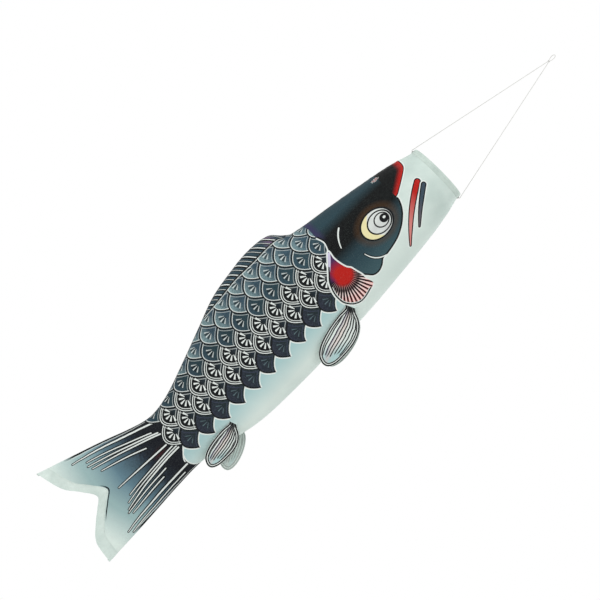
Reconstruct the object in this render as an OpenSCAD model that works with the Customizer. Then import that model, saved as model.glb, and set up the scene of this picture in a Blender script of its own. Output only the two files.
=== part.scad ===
// Carp streamer: a cloth fish on a round mouth hoop, hung from a two-leg cord bridle.
// It hangs head up. +Z is up, X runs from the back (-) to the belly (+), Y across the fish,
// and the right side faces -Y. The origin is inside the top of the hanging loop, where a
// hook bears. All sizes are in millimetres.

/* [Body cloth] */
// Length of the cloth, from the mouth edge to the lower tail tip
body_len = 1000; // [800:10:1250]
// Height of the back above the axis, at the crest of the dorsal fin
back_h = 155; // [125:1:190]
// Height of the belly below the axis, where it is fullest
belly_h = 103; // [82:1:125]
// Half of the fullness across the fish, just behind the mouth
half_depth = 64.5; // [52:0.5:78]
// Thickness of one layer of cloth
cloth_t = 0.6; // [0.4:0.1:1]
// Width of the seam allowance, which is turned inside
seam_w = 6; // [4:0.5:9]
// Thickness of a seam, two layers and their stitching
seam_t = 1.4; // [1:0.1:2]
// Width of the hem along the end of the tail
tail_hem_w = 24; // [14:1:32]

/* [Mouth] */
// Diameter over the mouth hem
mouth_d = 126; // [105:1:150]
// Height of the mouth hem
hem_h = 12; // [11:0.5:18]
// Thickness of the hoop's rod
hoop_d = 2.5; // [2:0.1:3.2]
// Slack of the hoop in its sleeves
hoop_slack = 0.05; // [0.02:0.01:0.2]
// Length of the tube that joins the ends of the hoop
joiner_len = 24; // [16:1:40]
// Wall of the joining tube
joiner_wall = 0.45; // [0.3:0.05:0.7]

/* [Eyelets] */
// Radius of the hole in an eyelet
eyelet_hole_r = 1.1; // [0.9:0.05:1.4]
// Radius of an eyelet's barrel
eyelet_barrel_r = 1.6; // [1.5:0.05:1.9]
// Radius of an eyelet's flange
eyelet_flange_r = 2.8; // [2.4:0.1:3.2]
// Thickness of an eyelet's flange
eyelet_flange_t = 0.6; // [0.4:0.1:0.8]

/* [Bridle] */
// Diameter of the bridle cord
cord_d = 1.2; // [1:0.1:1.6]
// Radius of the knot under the loop
knot_r = 2.3; // [2:0.1:3]
// Radius of the knots that stop the cord inside the eyelets
tie_knot_r = 1.7; // [1.5:0.1:2]

/* [Fins] */
// Length of a pectoral fin
pectoral_len = 127; // [100:1:140]
// Length of a pelvic fin
pelvic_len = 99; // [75:1:110]
// Width of a fin as a share of its length
fin_shape = 0.5; // [0.35:0.01:0.6]
// Width of the seam at a pectoral fin's root
pectoral_root_w = 20; // [14:1:24]
// Width of the seam at a pelvic fin's root
pelvic_root_w = 15; // [10:1:18]
// Angle between a fin and the side of the fish, seen from above
fin_turn = 18; // [10:1:22]
// Gap between a fin and the tab that it hangs from
fin_gap = 0.5; // [0.4:0.1:1]
// Clearance between a fin's root and the cloth behind it
fin_stand = 0.8; // [0.6:0.1:1.5]

/* [Bends] */
// Bend each way at the middle of the body, in degrees
body_bend_angle = 25; // [10:1:30]
// Bend each way at the root of the tail, in degrees
tail_bend_angle = 35; // [10:1:38]
// Clearance between two segments of cloth
bend_gap = 2; // [1.5:0.1:3]

/* [Hidden] */

RIGHT = -1;
LEFT = 1;
BACK = -1;
BELLY = 1;

// The cutting pattern is drawn on a length of 1000, and every station below is on it.
pattern_len = 1000;
k_len = body_len / pattern_len;
mouth_r = mouth_d / 2;
hem_station = hem_h / k_len;
// Over this much of the pattern the shape goes from the mouth's size to the body's.
mouth_blend = 200;

// Outlines as [station, height], and the fullness across as [station, half depth]
pattern_mouth_r = 63;
pattern_back_h = 155;
pattern_belly_h = 103;
pattern_half_depth = 64.5;
back_outline = [[0, 63], [hem_station, 63], [60, 77], [120, 89], [200, 103], [290, 118], [305, 128],
    [326, 148], [376, 155], [430, 150], [490, 139], [550, 117], [620, 91], [690, 67], [735, 60],
    [770, 66], [850, 95], [1000, 145]];
belly_outline = [[0, 63], [hem_station, 63], [45, 71], [100, 80], [200, 90], [300, 98], [400, 101],
    [450, 103], [560, 102], [610, 97], [680, 82], [735, 74], [800, 75], [900, 81], [1000, 85]];
half_depths = [[0, 63], [hem_station, 63], [60, 64.5], [150, 63.5], [300, 58], [400, 53], [500, 48],
    [600, 41], [700, 33], [740, 30], [800, 24], [900, 16], [1000, 10]];
// End of the tail as [share of the way from back to belly, station]
tail_end = [[0, 980], [0.2, 973], [0.33, 962], [0.41, 941], [0.49, 925], [0.55, 943], [0.6, 961],
    [0.68, 985], [0.75, 994], [1, 1000]];

// Stations of the rings of cloth, and the stations of the two bends
head_rings = [hem_station, 40, 75, 110, 150, 190, 230, 265, 290, 304, 315, 327, 350, 376, 410, 450];
bend_station = 450;
middle_rings = [492, 520, 550, 585, 620, 655, 690, 735];
tail_bend_station = 735;
tail_steps = 7;
first_tail_ring = 762;
// Cells of cloth from the back seam to the belly seam
cells = 20;
// The turned-in collar of a segment stops this far from the seams, as a share of the way round.
collar_margin = 0.045;
// The collar's rings past the bend's own angle, in degrees
collar_spare = 4;
collar_steps = 4;
// The seams stop short of a bend by this much.
seam_stop = 4;

// Hem, hoop and joining tube
hem_t = 2 * cloth_t;
hoop_r = hoop_d / 2;
joiner_r = hoop_r + hoop_slack + joiner_wall;
sleeve_wall = 0.4;
bead_r = joiner_r + hoop_slack + sleeve_wall;
ring_r = mouth_r - bead_r;
// The hoop's ends meet on the left side.
joiner_at = 90;
joiner_half_angle = joiner_len / 2 / ring_r * 180 / PI;
hoop_end_gap = 0.4;
// The eyelet's flanges bite this far into the hem.
flange_bite = 0.12;

// The bridle's points set the drop from the hanging point to the mouth edge, and the depth of
// the eyelets below that edge.
bridle_drop = 325;
eyelet_drop = 8;
// Points of the bridle: a leg from its knot to the eyelet at the back, and the loop
leg_route = [[-1, -18], [-14, -80], [-27, -142], [-40, -204], [-53, -266], [-66, -328],
    [-66.5, -330.4], [-66.3, -331.7], [-65.6, -332.6], [-64.4, -333], [-62, -333], [-60.4, -333]];
loop_route = [[-0.6, -16], [-1.8, -13], [-2.8, -9], [-3.1, -5], [-2.6, -2], [-1.4, 0], [0, 0.6],
    [1.4, 0], [2.6, -2], [3.1, -5], [2.8, -9], [1.8, -13], [0.6, -16]];
cord_sides = 8;
knot_z = -16.5;
// Gap between a tie knot and its eyelet
tie_gap = 0.3;

// Fins as [station of the root, height of the root below the axis]
pectoral_root = [310, 64];
pelvic_root = [633, 63];
// Slant of each fin towards the belly, in degrees. The left ones hang further out.
pectoral_slant_right = 23;
pectoral_slant_left = 27;
pelvic_slant_right = 17;
pelvic_slant_left = 38;
fin_t = cloth_t;
// Half width of a fin's outline as [share of the length, share of the width], back edge then belly
fin_back_edge = [[0.06, -0.13], [0.2, -0.24], [0.42, -0.35], [0.7, -0.4], [0.88, -0.33], [0.98, -0.14]];
fin_belly_edge = [[1, 0.04], [0.96, 0.2], [0.86, 0.36], [0.68, 0.51], [0.48, 0.6], [0.3, 0.58],
    [0.16, 0.44], [0.06, 0.24]];
tab_h = 7;
// A tab reaches this far into the cloth, so that it is sewn to it all over.
tab_sink = 3.5;
tab_stand = 0.4;

cloth_pale = "#d5e5da";
cloth_head = "#39505a";
cloth_scales = "#4e646e";
cloth_tail = "#5f7d88";
cloth_fin = "#b9c9c4";
cord_grey = "#cfcfca";
metal_dark = "#4a4744";
rod_white = "#e8e6dc";

// Smooth curve through points of [place, value], with the slope at each point taken from its neighbours
function slope_at(pts, i) =
    let (a = max(0, i - 1), b = min(len(pts) - 1, i + 1))
    (pts[b][1] - pts[a][1]) / (pts[b][0] - pts[a][0]);
function curve_at(pts, u) =
    let (i = max([0, for (k = [0 : len(pts) - 2]) if (pts[k][0] <= u) k]),
        d = pts[i + 1][0] - pts[i][0],
        f = (u - pts[i][0]) / d)
    pts[i][1] * (2 * f * f * f - 3 * f * f + 1) + pts[i + 1][1] * (3 * f * f - 2 * f * f * f)
    + slope_at(pts, i) * d * (f * f * f - 2 * f * f + f)
    + slope_at(pts, i + 1) * d * (f * f * f - f * f);

// Scale of an outline at a station: the mouth's scale, going over to the body's
function scale_at(s, body_scale) =
    let (f = min(1, max(0, (s - hem_station) / mouth_blend)))
    (1 - f) * mouth_r / pattern_mouth_r + f * body_scale;
function back_at(s) = curve_at(back_outline, s) * scale_at(s, back_h / pattern_back_h);
function belly_at(s) = curve_at(belly_outline, s) * scale_at(s, belly_h / pattern_belly_h);
function depth_at(s) = curve_at(half_depths, s) * scale_at(s, half_depth / pattern_half_depth);
function centre_at(s) = (belly_at(s) - back_at(s)) / 2;
function width_at(s) = (belly_at(s) + back_at(s)) / 2;
function height_of(s) = -bridle_drop - s * k_len;

// Point of the cloth at a station and a share of the way round from back (0) to belly (1),
// set in from the outside by a depth
function cloth_point(s, share, side, depth) =
    [centre_at(s) - (width_at(s) - depth) * cos(180 * share),
        side * (depth_at(s) - depth) * sin(180 * share), height_of(s)];

// Share of the way round at which cloth set in by a depth meets the side of the seam
function seam_share(s, depth) = asin(seam_t / 2 / (depth_at(s) - depth)) / 180;
function share_list(first, last) = [for (k = [0 : cells]) first + (last - first) * k / cells];
function cloth_ring(s, side, depth) =
    let (margin = seam_share(s, depth))
    [for (share = share_list(margin, 1 - margin)) cloth_point(s, share, side, depth)];

// Ring of a collar: the ring at a bend, smaller by the clearance, turned by an angle about the bend's axis
function collar_ring(s, angle, side, depth) =
    let (in = cloth_t + bend_gap + depth)
    [for (share = share_list(collar_margin, 1 - collar_margin))
        let (reach = (depth_at(s) - in) * sin(180 * share))
        [centre_at(s) - (width_at(s) - in) * cos(180 * share), side * reach * cos(angle),
            height_of(s) + reach * sin(angle)]];
function collar_angles(bend) =
    [for (k = [0 : collar_steps]) (bend + collar_spare) * (1 - 2 * k / collar_steps)];
function collar_rings(s, bend, side, depth) =
    [for (angle = collar_angles(bend)) collar_ring(s, angle, side, depth)];

// Tail rings run from the root to a line that follows the end of the tail, set back by a width.
// The station changes round a ring, so each seam has its own share.
function end_station(share) = curve_at(tail_end, share);
function tail_station(step_share, share, setback) =
    first_tail_ring + step_share * (end_station(share) - setback - first_tail_ring);
function tail_ring(step_share, side, depth, setback) =
    let (first = seam_share(tail_station(step_share, 0, setback), depth),
        last = 1 - seam_share(tail_station(step_share, 1, setback), depth))
    [for (share = share_list(first, last))
        let (edge = share == first ? 0 : share == last ? 1 : share)
        cloth_point(tail_station(step_share, edge, setback), share, side, depth)];

// Solid between an outer and an inner sheet of points, closed along its four edges
module sheet_solid(outer, inner, side) {
    rows = len(outer);
    cols = len(outer[0]);
    function at(layer, i, j) = layer * rows * cols + i * cols + j;
    quads = [
        for (i = [0 : rows - 2], j = [0 : cols - 2]) each [
            [at(0, i, j), at(0, i, j + 1), at(0, i + 1, j + 1), at(0, i + 1, j)],
            [at(1, i, j), at(1, i + 1, j), at(1, i + 1, j + 1), at(1, i, j + 1)]],
        for (j = [0 : cols - 2]) each [
            [at(0, 0, j), at(1, 0, j), at(1, 0, j + 1), at(0, 0, j + 1)],
            [at(0, rows - 1, j), at(0, rows - 1, j + 1), at(1, rows - 1, j + 1), at(1, rows - 1, j)]],
        for (i = [0 : rows - 2]) each [
            [at(0, i, 0), at(0, i + 1, 0), at(1, i + 1, 0), at(1, i, 0)],
            [at(0, i, cols - 1), at(1, i, cols - 1), at(1, i + 1, cols - 1), at(0, i + 1, cols - 1)]]];
    faces = [for (q = quads) each [[q[0], q[1], q[2]], [q[0], q[2], q[3]]]];
    polyhedron(concat([for (row = outer) each row], [for (row = inner) each row]),
        side == LEFT ? faces : [for (f = faces) [f[2], f[1], f[0]]]);
}

// Solid that joins a list of closed rings and caps both ends
module ring_solid(rings, flip = false) {
    sides = len(rings[0]);
    last = (len(rings) - 1) * sides;
    faces = [
        for (i = [0 : len(rings) - 2], k = [0 : sides - 1]) each
            let (a = i * sides + k, b = i * sides + (k + 1) % sides)
            [[a, b, b + sides], [a, b + sides, a + sides]],
        for (k = [1 : sides - 2]) each [[0, k + 1, k], [last, last + k, last + k + 1]]];
    polyhedron([for (ring = rings) each ring],
        flip ? [for (f = faces) [f[2], f[1], f[0]]] : faces);
}

// Cord of round section along points in the plane of the bridle
module cord(route) {
    last = len(route) - 1;
    ring_solid([for (i = [0 : last])
        let (along = route[min(last, i + 1)] - route[max(0, i - 1)],
            t = along / norm(along))
        [for (k = [0 : cord_sides - 1])
            let (a = 360 * k / cord_sides, c = cord_d / 2 * cos(a), n = cord_d / 2 * sin(a))
            [route[i][0] + n * t[1], c, route[i][1] - n * t[0]]]]);
}

module hang_loop() {
    color(cord_grey) cord(loop_route);
}
module bridle_knot() {
    color(cord_grey) translate([0, 0, knot_z]) sphere(r = knot_r, $fn = 32);
}
module bridle_line(end) {
    color(cord_grey) cord([for (p = leg_route) [-end * p[0], p[1]]]);
}

// The knot sits inside the mouth, just clear of the eyelet's inner flange.
module tie_knot(end) {
    inner_face = mouth_r - hem_t + flange_bite - eyelet_flange_t;
    color(cord_grey)
        translate([end * (inner_face - tie_gap - tie_knot_r), 0, -bridle_drop - eyelet_drop])
        sphere(r = tie_knot_r, $fn = 32);
}

// Round section swept round the mouth, from one angle by another
module mouth_torus(r, from, sweep) {
    translate([0, 0, -bridle_drop - bead_r]) rotate([0, 0, from])
        rotate_extrude(angle = sweep, $fn = 96) translate([ring_r, 0]) circle(r = r, $fn = 32);
}

module mouth_hoop() {
    half_gap = hoop_end_gap / 2 / ring_r * 180 / PI;
    color(rod_white) mouth_torus(hoop_r, joiner_at + half_gap, 360 - 2 * half_gap);
}
module hoop_joiner() {
    color(metal_dark) difference() {
        mouth_torus(joiner_r, joiner_at - joiner_half_angle, 2 * joiner_half_angle);
        mouth_torus(hoop_r + hoop_slack, joiner_at - 2 * joiner_half_angle, 4 * joiner_half_angle);
    }
}

// A bead round the hoop, and a band of doubled cloth below it with a hole for each eyelet
module mouth_hem() {
    color(cloth_pale) difference() {
        translate([0, 0, -bridle_drop]) rotate_extrude($fn = 96) union() {
            translate([ring_r, -bead_r]) circle(r = bead_r, $fn = 32);
            translate([mouth_r - hem_t, -hem_h]) square([hem_t, hem_h - bead_r]);
        }
        mouth_torus(hoop_r + hoop_slack, 0, 360);
        mouth_torus(joiner_r + hoop_slack, joiner_at - joiner_half_angle - 1, 2 * joiner_half_angle + 2);
        for (end = [BACK, BELLY])
            translate([end * mouth_r, 0, -bridle_drop - eyelet_drop]) rotate([0, 90, 0])
                cylinder(r = eyelet_barrel_r, h = 4 * hem_t, center = true, $fn = 32);
    }
}
module eyelet(end) {
    half = hem_t / 2 - flange_bite;
    color(metal_dark) translate([end * (mouth_r - hem_t / 2), 0, -bridle_drop - eyelet_drop])
        rotate([0, 90, 0]) rotate_extrude($fn = 48) union() {
            translate([eyelet_hole_r, -half - eyelet_flange_t])
                square([eyelet_barrel_r - eyelet_hole_r, 2 * (half + eyelet_flange_t)]);
            for (z = [-half - eyelet_flange_t, half])
                translate([eyelet_hole_r, z])
                    square([eyelet_flange_r - eyelet_hole_r, eyelet_flange_t]);
        }
}

module panel_head(side) {
    color(cloth_head) sheet_solid([for (s = head_rings) cloth_ring(s, side, 0)],
        [for (s = head_rings) cloth_ring(s, side, cloth_t)], side);
}
function middle_sheet(side, depth) = concat(
    collar_rings(bend_station, body_bend_angle, side, depth),
    [for (s = middle_rings) cloth_ring(s, side, depth)]);
module panel_middle(side) {
    color(cloth_scales) sheet_solid(middle_sheet(side, 0), middle_sheet(side, cloth_t), side);
}
function tail_sheet(side, depth) = concat(
    collar_rings(tail_bend_station, tail_bend_angle, side, depth),
    [for (k = [0 : tail_steps]) tail_ring(k / tail_steps, side, depth, tail_hem_w / k_len)]);
module panel_tail(side) {
    color(cloth_tail) sheet_solid(tail_sheet(side, 0), tail_sheet(side, cloth_t), side);
}

// Two layers along the end of the tail, from the panel's last ring on
module tail_hem(side) {
    function rows(depth) = [tail_ring(1, side, depth, tail_hem_w / k_len),
        tail_ring(1, side, depth, tail_hem_w / k_len / 2), tail_ring(1, side, depth, 0)];
    color(cloth_pale) sheet_solid(rows(0), rows(2 * cloth_t), side);
}

// Ring of a seam at a station: between the two panels outside, and the allowance inside
function seam_ring(s, end) =
    let (x = centre_at(s) + end * width_at(s) * cos(180 * seam_share(s, 0)), y = seam_t / 2)
    [for (p = [[0, y], [0, -y], [seam_w, -y], [seam_w, y]]) [x - end * p[0], p[1], height_of(s)]];
module seam(stations, end) {
    color(cloth_pale) ring_solid([for (s = stations) seam_ring(s, end)], end == BACK);
}
stop = seam_stop / k_len;
head_seam = [for (s = head_rings) s == bend_station ? s - stop : s];
middle_seam = [bend_station + stop, for (s = middle_rings) s == tail_bend_station ? s - stop : s];
function tail_seam(end) =
    let (last = end_station(end == BACK ? 0 : 1), first = tail_bend_station + stop)
    [for (k = [0 : tail_steps]) first + (last - first) * k / tail_steps];

// Place of a fin's root, in the middle of its thickness: a point just outside the cloth
function root_place(root, side) =
    let (s = root[0], x = root[1] * belly_h / pattern_belly_h,
        u = (x - centre_at(s)) / width_at(s))
    [x, side * (depth_at(s) * sqrt(1 - u * u) + fin_t / 2 + fin_stand), height_of(s)];

// Sets a fin, drawn in a plane with its root at the origin, against the side of the fish
module at_fin_root(root, side, slant) {
    translate(root_place(root, side)) rotate([0, 0, -side * fin_turn]) rotate([0, -slant, 0])
        rotate([90, 0, 0]) children();
}
function fin_outline(length, root_w) =
    let (w = length * fin_shape)
    concat([[-root_w / 2, -fin_gap]], [for (p = fin_back_edge) [p[1] * w, -p[0] * length]],
        [for (p = fin_belly_edge) [p[1] * w, -p[0] * length]], [[root_w / 2, -fin_gap]]);
module fin(root, side, slant, length, root_w) {
    color(cloth_fin) at_fin_root(root, side, slant)
        linear_extrude(height = fin_t, center = true) polygon(fin_outline(length, root_w));
}
// The tab that carries a fin is sewn down on the cloth above the fin's root.
module fin_tab(root, side, slant, root_w) {
    inner = side == RIGHT ? -tab_sink : -tab_stand;
    color(cloth_pale) at_fin_root(root, side, slant)
        translate([-root_w / 2, 0, inner]) cube([root_w, tab_h, tab_sink + tab_stand]);
}

hang_loop();
bridle_knot();
bridle_line(BACK);  // bridle_line_back
bridle_line(BELLY);  // bridle_line_belly
tie_knot(BACK);  // tie_knot_back
tie_knot(BELLY);  // tie_knot_belly
mouth_hoop();
hoop_joiner();
mouth_hem();
eyelet(BACK);  // eyelet_back
eyelet(BELLY);  // eyelet_belly
panel_head(RIGHT);  // right_panel_head
panel_head(LEFT);  // left_panel_head
seam(head_seam, BACK);  // back_seam_head
seam(head_seam, BELLY);  // belly_seam_head
panel_middle(RIGHT);  // right_panel_middle
panel_middle(LEFT);  // left_panel_middle
seam(middle_seam, BACK);  // back_seam_middle
seam(middle_seam, BELLY);  // belly_seam_middle
panel_tail(RIGHT);  // right_panel_tail
panel_tail(LEFT);  // left_panel_tail
seam(tail_seam(BACK), BACK);  // back_seam_tail
seam(tail_seam(BELLY), BELLY);  // belly_seam_tail
tail_hem(RIGHT);  // tail_hem_right
tail_hem(LEFT);  // tail_hem_left
fin_tab(pectoral_root, RIGHT, pectoral_slant_right, pectoral_root_w);  // pectoral_root_right
fin_tab(pectoral_root, LEFT, pectoral_slant_left, pectoral_root_w);  // pectoral_root_left
fin(pectoral_root, RIGHT, pectoral_slant_right, pectoral_len, pectoral_root_w);  // pectoral_fin_right
fin(pectoral_root, LEFT, pectoral_slant_left, pectoral_len, pectoral_root_w);  // pectoral_fin_left
fin_tab(pelvic_root, RIGHT, pelvic_slant_right, pelvic_root_w);  // pelvic_root_right
fin_tab(pelvic_root, LEFT, pelvic_slant_left, pelvic_root_w);  // pelvic_root_left
fin(pelvic_root, RIGHT, pelvic_slant_right, pelvic_len, pelvic_root_w);  // pelvic_fin_right
fin(pelvic_root, LEFT, pelvic_slant_left, pelvic_len, pelvic_root_w);  // pelvic_fin_left
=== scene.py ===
import math

import bpy
import numpy as np
from mathutils import Matrix, Vector


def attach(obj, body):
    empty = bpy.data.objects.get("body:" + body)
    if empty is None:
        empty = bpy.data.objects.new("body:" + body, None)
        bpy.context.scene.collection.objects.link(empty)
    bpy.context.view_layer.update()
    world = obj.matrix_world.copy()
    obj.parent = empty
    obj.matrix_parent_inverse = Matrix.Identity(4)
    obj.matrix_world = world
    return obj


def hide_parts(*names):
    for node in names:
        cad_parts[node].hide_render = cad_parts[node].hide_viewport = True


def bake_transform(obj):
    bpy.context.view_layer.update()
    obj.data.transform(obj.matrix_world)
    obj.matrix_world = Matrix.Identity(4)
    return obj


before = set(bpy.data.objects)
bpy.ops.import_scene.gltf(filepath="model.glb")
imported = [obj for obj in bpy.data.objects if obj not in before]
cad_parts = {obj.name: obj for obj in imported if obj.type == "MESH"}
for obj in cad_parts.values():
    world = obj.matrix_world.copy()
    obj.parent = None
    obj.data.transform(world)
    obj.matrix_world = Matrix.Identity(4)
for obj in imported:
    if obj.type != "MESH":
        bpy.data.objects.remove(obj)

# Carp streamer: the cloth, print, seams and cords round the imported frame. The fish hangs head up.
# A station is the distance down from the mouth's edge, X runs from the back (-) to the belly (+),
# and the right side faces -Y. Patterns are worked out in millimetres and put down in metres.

MM = 0.001
RIGHT, LEFT = -1, 1
BACK, BELLY = -1, 1
SIDE_NAMES = {RIGHT: "right", LEFT: "left"}
END_NAMES = {BACK: "back", BELLY: "belly"}
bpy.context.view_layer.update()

# The pattern of the cloth, as in the part's source
DROP = 325
HEM_HEIGHT = 12
MOUTH_RADIUS = 63
BEAD_RADIUS = 2.2
EYELET_DROP = 8
TAIL_HEM = 24
CORD_DIAMETER = 1.2
BACK_OUTLINE = [[0, 63], [12, 63], [60, 77], [120, 89], [200, 103], [290, 118], [305, 128], [326, 148],
    [376, 155], [430, 150], [490, 139], [550, 117], [620, 91], [690, 67], [735, 60], [770, 66],
    [850, 95], [1000, 145]]
BELLY_OUTLINE = [[0, 63], [12, 63], [45, 71], [100, 80], [200, 90], [300, 98], [400, 101], [450, 103],
    [560, 102], [610, 97], [680, 82], [735, 74], [800, 75], [900, 81], [1000, 85]]
HALF_DEPTHS = [[0, 63], [12, 63], [60, 64.5], [150, 63.5], [300, 58], [400, 53], [500, 48], [600, 41],
    [700, 33], [740, 30], [800, 24], [900, 16], [1000, 10]]
TAIL_END = [[0, 980], [0.2, 973], [0.33, 962], [0.41, 941], [0.49, 925], [0.55, 943], [0.6, 961],
    [0.68, 985], [0.75, 994], [1, 1000]]
LEG_ROUTE = [[-0.001, -0.018], [-0.014, -0.08], [-0.027, -0.142], [-0.04, -0.204], [-0.053, -0.266],
    [-0.066, -0.328], [-0.0665, -0.3304], [-0.0663, -0.3317], [-0.0656, -0.3326],
    [-0.0644, -0.333], [-0.062, -0.333], [-0.0604, -0.333]]
LOOP_ROUTE = [[-0.0006, -0.016], [-0.0018, -0.013], [-0.0028, -0.009], [-0.0031, -0.005],
    [-0.0026, -0.002], [-0.0014, 0], [0, 0.0006], [0.0014, 0], [0.0026, -0.002], [0.0031, -0.005],
    [0.0028, -0.009], [0.0018, -0.013], [0.0006, -0.016]]

# Where the two pieces of a side meet, and where the cloth bends
SPLIT = 600
BODY_BEND = (370, 530)
TAIL_BEND = (668, 802)
CLOTH_THICKNESS = 0.35
HEM_THICKNESS = 0.8
# The print is laid out from this line along the side, in millimetres from the axis.
MIDLINE = -20


# ---- shapes

def curve(points, at):
    """Smooth curve through [place, value] points: cubic pieces, each slope taken from the two neighbours."""
    x, y = np.array(points, float).T
    slope = np.empty_like(y)
    slope[1:-1] = (y[2:] - y[:-2]) / (x[2:] - x[:-2])
    slope[0] = (y[1] - y[0]) / (x[1] - x[0])
    slope[-1] = (y[-1] - y[-2]) / (x[-1] - x[-2])
    i = np.clip(np.searchsorted(x, at, side="right") - 1, 0, len(x) - 2)
    d = x[i + 1] - x[i]
    f = (at - x[i]) / d
    return (y[i] * (2 * f**3 - 3 * f**2 + 1) + y[i + 1] * (3 * f**2 - 2 * f**3)
        + slope[i] * d * (f**3 - 2 * f**2 + f) + slope[i + 1] * d * (f**3 - f**2))


def smooth(value):
    """Goes from 0 to 1 with level ends as the value does."""
    t = np.clip(value, 0, 1)
    return t * t * (3 - 2 * t)


def full_turn(count):
    """Angles of a whole turn, without the last one."""
    return np.linspace(0, 2 * np.pi, count, endpoint=False)


def run_along(points):
    """Length run along a row of points, from its first one."""
    return np.concatenate([[0], np.cumsum(np.linalg.norm(np.diff(points, axis=0), axis=1))])


def section(s):
    """Centre, half width and half depth of the body at a station."""
    back, belly = curve(BACK_OUTLINE, s), curve(BELLY_OUTLINE, s)
    return (belly - back) / 2, (belly + back) / 2, curve(HALF_DEPTHS, s)


def angle_at(centre, width, x):
    """Angle round the ring, from the back, at a place across it."""
    return np.arccos(np.clip((centre - x) / width, -1, 1))


def round_the_ring(s, share):
    """Distance over the cloth from the midline to a share of the way from the back to the belly:
    the arc of the ring's ellipse, summed at Gauss points, counted on from the midline's own place."""
    centre, width, depth = section(s)
    first = angle_at(centre, width, MIDLINE)
    turn = np.pi * share - first
    places, weights = np.polynomial.legendre.leggauss(12)
    total = 0
    for place, weight in zip((places + 1) / 2, weights / 2):
        angle = first + turn * place
        total = total + weight * np.hypot(width * np.sin(angle), depth * np.cos(angle))
    return MIDLINE + turn * total


def on_cloth(station, height):
    """Print place of a point given by its station and its height seen from the side."""
    s, p = np.asarray(station, float), np.asarray(height, float)
    centre, width, _ = section(s)
    share = angle_at(centre, width, p) / np.pi
    beyond = np.abs(p - centre) - width
    return s, round_the_ring(s, share) + np.sign(p - centre) * np.clip(beyond, 0, None)


def relief(s, share, side):
    """Height of the cloth over its pattern: long soft folds, pleats that spread from the two eyelets,
    gathers below the mouth's hem, and puckers along the two seams that die out within a few centimetres."""
    depth = curve(HALF_DEPTHS, s)
    from_seam = np.pi * depth * np.minimum(share, 1 - share)
    open_cloth = smooth((s - HEM_HEIGHT) / 40)
    middle = np.sin(np.pi * share)
    folds = (1.5 * np.sin(s / 47 + 3.4 * share + 0.7 * side) + 0.9 * np.sin(s / 23 - 6.1 * share + 1.9)
        + 0.5 * np.sin(s / 13.7 + 8.3 * share - 0.8 * side)) * middle
    pleats = (1.3 * np.sin(9 * np.arctan2(from_seam, s - EYELET_DROP + 6) + side)
        * np.exp(-s / 90) * smooth(from_seam / 12))
    ripple = np.sin(s / 2.9 + 1.5 * np.sin(s / 19) + 1.3 * side) + 0.5 * np.sin(s / 5.3 + share * 4)
    puckers = ((0.36 - 0.2 * smooth((s - 700) / 60)) * ripple * np.exp(-((from_seam - 5) / 11) ** 2)
        * smooth(from_seam / 5))
    gathers = (0.5 * np.sin(22 * np.pi * share + 2 * np.sin(5 * share) + side) * np.exp(-s / 60)
        * smooth(from_seam / 12))
    return open_cloth * (folds + pleats + gathers + puckers)


def sway(s, x):
    """Sideways wave of the thin tail, the same for both of its sides."""
    grow = smooth((s - 790) / 260)
    return 7 * grow * np.sin(x / 34 + s / 70 + 0.6) - 1.5 * grow


def body_point(s, share, side, out=0.0):
    """Point of the cloth in metres, with its relief, moved out by a distance."""
    centre, width, depth = section(s)
    turn = np.pi * share
    rise = relief(s, share, side) + out
    x = centre - (width + rise) * np.cos(turn)
    y = side * (depth + rise) * np.sin(turn) + sway(s, x)
    return np.stack([x, y, -DROP - s], axis=-1) * MM


def grid_normals(points):
    """Unit normals of a grid of points, across its rows and its columns."""
    normal = np.cross(np.gradient(points, axis=0), np.gradient(points, axis=1))
    return normal / np.maximum(np.linalg.norm(normal, axis=-1, keepdims=True), 1e-12)


def distance_inside(place, outline, closed=True):
    """Distance of points to an outline, in its own units: above zero inside it."""
    shape = np.shape(place[0])
    p = np.stack([np.ravel(place[0]), np.ravel(place[1])], axis=-1)
    a = np.asarray(outline, float)
    b = np.roll(a, -1, axis=0)
    if not closed:
        a, b = a[:-1], b[:-1]
    along = b - a
    near = np.full(len(p), np.inf)
    crossings = np.zeros(len(p), int)
    for start, step in zip(a, along):
        t = np.clip((p - start) @ step / max(step @ step, 1e-12), 0, 1)
        near = np.minimum(near, np.linalg.norm(p - start - t[:, None] * step, axis=1))
        low, high = sorted((start[1], start[1] + step[1]))
        straddles = (p[:, 1] >= low) & (p[:, 1] < high)
        at = start[0] + (p[:, 1] - start[1]) * step[0] / (step[1] if step[1] else 1)
        crossings += straddles & (p[:, 0] < at)
    return (near * np.where(crossings % 2 == 1, 1, -1)).reshape(shape)


OUTLINE_STEPS = 6


def rounded(points):
    """Closed outline through points, with its stretches rounded as a smooth closed curve."""
    p = np.asarray(points, float)
    before, after, beyond = np.roll(p, 1, 0), np.roll(p, -1, 0), np.roll(p, -2, 0)
    t = (np.arange(OUTLINE_STEPS) / OUTLINE_STEPS)[None, :, None]
    a, b, c, d = (q[:, None, :] for q in (before, p, after, beyond))
    out = 0.5 * (2 * b + (c - a) * t + (2 * a - 5 * b + 4 * c - d) * t**2
        + (3 * b - 3 * c + d - a) * t**3)
    return out.reshape(-1, 2)


# ---- meshes

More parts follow.
